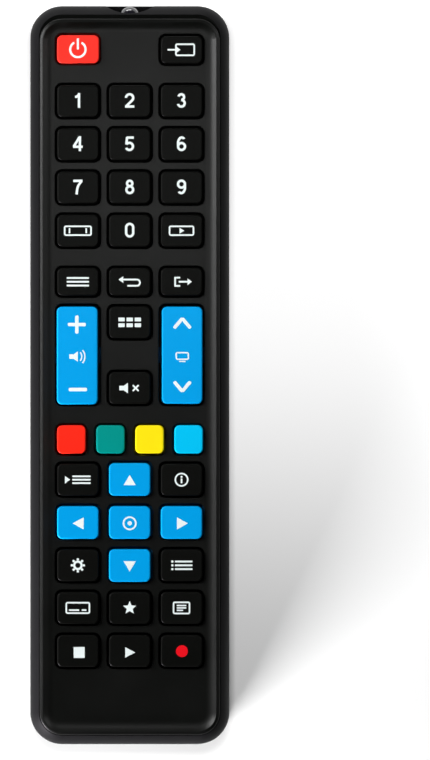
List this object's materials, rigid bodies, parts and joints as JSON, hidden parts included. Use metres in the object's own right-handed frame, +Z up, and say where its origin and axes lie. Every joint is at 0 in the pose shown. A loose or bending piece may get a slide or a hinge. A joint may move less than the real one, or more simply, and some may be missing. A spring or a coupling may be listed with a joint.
{
  "type": "tv remote control",
  "caption": "Long slim handset with a dished keypad, sprung keys, long rocker keys, an infrared light in a scallop at one end and a battery cover that slides off the back.",
  "frame": {"origin": "middle of the flat back that the handset lies on", "axes": "+X across the keypad to the right, +Y along the handset to its infrared end, +Z up out of the back through the keys"},
  "size_m": [0.05, 0.1854, 0.0216],
  "materials": {
    "front_shell": "dark grey, fine even moulded grain",
    "rear_shell": "near black, fine even moulded grain",
    "black_key": "black, smooth and slightly satin",
    "power_red": "bright red, smooth and slightly satin",
    "blue_key": "bright blue, smooth and slightly satin",
    "red_key": "bright red, smooth and slightly satin",
    "green_key": "blue-green, smooth and slightly satin",
    "yellow_key": "bright yellow, smooth and slightly satin",
    "cyan_key": "light cyan blue, smooth and slightly satin",
    "silicone": "grey silicone, matte",
    "board": "green coated laminate",
    "chip_body": "black moulded case",
    "plated_metal": "plated metal can",
    "capacitor_sleeve": "dark blue sleeve",
    "contact_steel": "nickel-plated spring steel",
    "cell_wrap": "plain wrap, satin",
    "screw_steel": "dark zinc plating",
    "light_lens": "smoky clear resin"
  },
  "bodies": {
    "housing": {"front_housing": "front_shell", "rear_housing": "rear_shell", "keypad_mat": "silicone", "circuit_board": "board", "controller_chip": "chip_body", "resonator": "plated_metal", "capacitor": "capacitor_sleeve", "transistor": "chip_body", "resistors": "chip_body", "contact_positive": "contact_steel", "contact_negative": "contact_steel", "contact_bridge": "contact_steel", "cell_left": "cell_wrap", "cell_right": "cell_wrap", "housing_screws": "screw_steel", "ir_led": "light_lens"},
    "power_key": {"power_key": "power_red"},
    "input_key": {"input_key": "black_key"},
    "menu_key": {"menu_key": "black_key"},
    "back_key": {"back_key": "black_key"},
    "exit_key": {"exit_key": "black_key"},
    "key_1": {"key_1": "black_key"},
    "key_2": {"key_2": "black_key"},
    "key_3": {"key_3": "black_key"},
    "key_4": {"key_4": "black_key"},
    "key_5": {"key_5": "black_key"},
    "key_6": {"key_6": "black_key"},
    "key_7": {"key_7": "black_key"},
    "key_8": {"key_8": "black_key"},
    "key_9": {"key_9": "black_key"},
    "ratio_key": {"ratio_key": "black_key"},
    "key_0": {"key_0": "black_key"},
    "media_key": {"media_key": "black_key"},
    "guide_key": {"guide_key": "black_key"},
    "mute_key": {"mute_key": "black_key"},
    "red_key": {"red_key": "red_key"},
    "green_key": {"green_key": "green_key"},
    "yellow_key": {"yellow_key": "yellow_key"},
    "cyan_key": {"cyan_key": "cyan_key"},
    "quick_menu_key": {"quick_menu_key": "black_key"},
    "up_key": {"up_key": "blue_key"},
    "info_key": {"info_key": "black_key"},
    "left_key": {"left_key": "blue_key"},
    "ok_key": {"ok_key": "blue_key"},
    "right_key": {"right_key": "blue_key"},
    "tools_key": {"tools_key": "black_key"},
    "down_key": {"down_key": "blue_key"},
    "list_key": {"list_key": "black_key"},
    "subtitle_key": {"subtitle_key": "black_key"},
    "favourite_key": {"favourite_key": "black_key"},
    "text_key": {"text_key": "black_key"},
    "stop_key": {"stop_key": "black_key"},
    "play_key": {"play_key": "black_key"},
    "record_key": {"record_key": "black_key"},
    "volume_rocker": {"volume_rocker": "blue_key"},
    "channel_rocker": {"channel_rocker": "blue_key"},
    "battery_cover": {"battery_cover": "rear_shell"}
  },
  "joints": [
    {"name": "power_key_press", "type": "slide", "parent": "housing", "child": "power_key", "axis": [0, 0, -1], "range_m": [0, 0.0009], "stiffness_N_per_m": 1500},
    {"name": "input_key_press", "type": "slide", "parent": "housing", "child": "input_key", "axis": [0, 0, -1], "range_m": [0, 0.0009], "stiffness_N_per_m": 1500},
    {"name": "menu_key_press", "type": "slide", "parent": "housing", "child": "menu_key", "axis": [0, 0, -1], "range_m": [0, 0.0009], "stiffness_N_per_m": 1500},
    {"name": "back_key_press", "type": "slide", "parent": "housing", "child": "back_key", "axis": [0, 0, -1], "range_m": [0, 0.0009], "stiffness_N_per_m": 1500},
    {"name": "exit_key_press", "type": "slide", "parent": "housing", "child": "exit_key", "axis": [0, 0, -1], "range_m": [0, 0.0009], "stiffness_N_per_m": 1500},
    {"name": "key_1_press", "type": "slide", "parent": "housing", "child": "key_1", "axis": [0, 0, -1], "range_m": [0, 0.0009], "stiffness_N_per_m": 1500},
    {"name": "key_2_press", "type": "slide", "parent": "housing", "child": "key_2", "axis": [0, 0, -1], "range_m": [0, 0.0009], "stiffness_N_per_m": 1500},
    {"name": "key_3_press", "type": "slide", "parent": "housing", "child": "key_3", "axis": [0, 0, -1], "range_m": [0, 0.0009], "stiffness_N_per_m": 1500},
    {"name": "key_4_press", "type": "slide", "parent": "housing", "child": "key_4", "axis": [0, 0, -1], "range_m": [0, 0.0009], "stiffness_N_per_m": 1500},
    {"name": "key_5_press", "type": "slide", "parent": "housing", "child": "key_5", "axis": [0, 0, -1], "range_m": [0, 0.0009], "stiffness_N_per_m": 1500},
    {"name": "key_6_press", "type": "slide", "parent": "housing", "child": "key_6", "axis": [0, 0, -1], "range_m": [0, 0.0009], "stiffness_N_per_m": 1500},
    {"name": "key_7_press", "type": "slide", "parent": "housing", "child": "key_7", "axis": [0, 0, -1], "range_m": [0, 0.0009], "stiffness_N_per_m": 1500},
    {"name": "key_8_press", "type": "slide", "parent": "housing", "child": "key_8", "axis": [0, 0, -1], "range_m": [0, 0.0009], "stiffness_N_per_m": 1500},
    {"name": "key_9_press", "type": "slide", "parent": "housing", "child": "key_9", "axis": [0, 0, -1], "range_m": [0, 0.0009], "stiffness_N_per_m": 1500},
    {"name": "ratio_key_press", "type": "slide", "parent": "housing", "child": "ratio_key", "axis": [0, 0, -1], "range_m": [0, 0.0009], "stiffness_N_per_m": 1500},
    {"name": "key_0_press", "type": "slide", "parent": "housing", "child": "key_0", "axis": [0, 0, -1], "range_m": [0, 0.0009], "stiffness_N_per_m": 1500},
    {"name": "media_key_press", "type": "slide", "parent": "housing", "child": "media_key", "axis": [0, 0, -1], "range_m": [0, 0.0009], "stiffness_N_per_m": 1500},
    {"name": "guide_key_press", "type": "slide", "parent": "housing", "child": "guide_key", "axis": [0, 0, -1], "range_m": [0, 0.0009], "stiffness_N_per_m": 1500},
    {"name": "mute_key_press", "type": "slide", "parent": "housing", "child": "mute_key", "axis": [0, 0, -1], "range_m": [0, 0.0009], "stiffness_N_per_m": 1500},
    {"name": "red_key_press", "type": "slide", "parent": "housing", "child": "red_key", "axis": [0, 0, -1], "range_m": [0, 0.0009], "stiffness_N_per_m": 1500},
    {"name": "green_key_press", "type": "slide", "parent": "housing", "child": "green_key", "axis": [0, 0, -1], "range_m": [0, 0.0009], "stiffness_N_per_m": 1500},
    {"name": "yellow_key_press", "type": "slide", "parent": "housing", "child": "yellow_key", "axis": [0, 0, -1], "range_m": [0, 0.0009], "stiffness_N_per_m": 1500},
    {"name": "cyan_key_press", "type": "slide", "parent": "housing", "child": "cyan_key", "axis": [0, 0, -1], "range_m": [0, 0.0009], "stiffness_N_per_m": 1500},
    {"name": "quick_menu_key_press", "type": "slide", "parent": "housing", "child": "quick_menu_key", "axis": [0, 0, -1], "range_m": [0, 0.0009], "stiffness_N_per_m": 1500},
    {"name": "up_key_press", "type": "slide", "parent": "housing", "child": "up_key", "axis": [0, 0, -1], "range_m": [0, 0.0009], "stiffness_N_per_m": 1500},
    {"name": "info_key_press", "type": "slide", "parent": "housing", "child": "info_key", "axis": [0, 0, -1], "range_m": [0, 0.0009], "stiffness_N_per_m": 1500},
    {"name": "left_key_press", "type": "slide", "parent": "housing", "child": "left_key", "axis": [0, 0, -1], "range_m": [0, 0.0009], "stiffness_N_per_m": 1500},
    {"name": "ok_key_press", "type": "slide", "parent": "housing", "child": "ok_key", "axis": [0, 0, -1], "range_m": [0, 0.0009], "stiffness_N_per_m": 1500},
    {"name": "right_key_press", "type": "slide", "parent": "housing", "child": "right_key", "axis": [0, 0, -1], "range_m": [0, 0.0009], "stiffness_N_per_m": 1500},
    {"name": "tools_key_press", "type": "slide", "parent": "housing", "child": "tools_key", "axis": [0, 0, -1], "range_m": [0, 0.0009], "stiffness_N_per_m": 1500},
    {"name": "down_key_press", "type": "slide", "parent": "housing", "child": "down_key", "axis": [0, 0, -1], "range_m": [0, 0.0009], "stiffness_N_per_m": 1500},
    {"name": "list_key_press", "type": "slide", "parent": "housing", "child": "list_key", "axis": [0, 0, -1], "range_m": [0, 0.0009], "stiffness_N_per_m": 1500},
    {"name": "subtitle_key_press", "type": "slide", "parent": "housing", "child": "subtitle_key", "axis": [0, 0, -1], "range_m": [0, 0.0009], "stiffness_N_per_m": 1500},
    {"name": "favourite_key_press", "type": "slide", "parent": "housing", "child": "favourite_key", "axis": [0, 0, -1], "range_m": [0, 0.0009], "stiffness_N_per_m": 1500},
    {"name": "text_key_press", "type": "slide", "parent": "housing", "child": "text_key", "axis": [0, 0, -1], "range_m": [0, 0.0009], "stiffness_N_per_m": 1500},
    {"name": "stop_key_press", "type": "slide", "parent": "housing", "child": "stop_key", "axis": [0, 0, -1], "range_m": [0, 0.0009], "stiffness_N_per_m": 1500},
    {"name": "play_key_press", "type": "slide", "parent": "housing", "child": "play_key", "axis": [0, 0, -1], "range_m": [0, 0.0009], "stiffness_N_per_m": 1500},
    {"name": "record_key_press", "type": "slide", "parent": "housing", "child": "record_key", "axis": [0, 0, -1], "range_m": [0, 0.0009], "stiffness_N_per_m": 1500},
    {"name": "volume_rocker_rock", "type": "hinge", "parent": "housing", "child": "volume_rocker", "pos_m": [-0.013, 0.00505, 0.01695], "axis": [1, 0, 0], "range_deg": [-3.5, 3.5], "stiffness_Nm_per_rad": 0.2},
    {"name": "channel_rocker_rock", "type": "hinge", "parent": "housing", "child": "channel_rocker", "pos_m": [0.013, 0.00505, 0.01695], "axis": [1, 0, 0], "range_deg": [-3.5, 3.5], "stiffness_Nm_per_rad": 0.2},
    {"name": "battery_cover_slide", "type": "slide", "parent": "housing", "child": "battery_cover", "axis": [0, -1, 0], "range_m": [0, 0.066]}
  ]
}
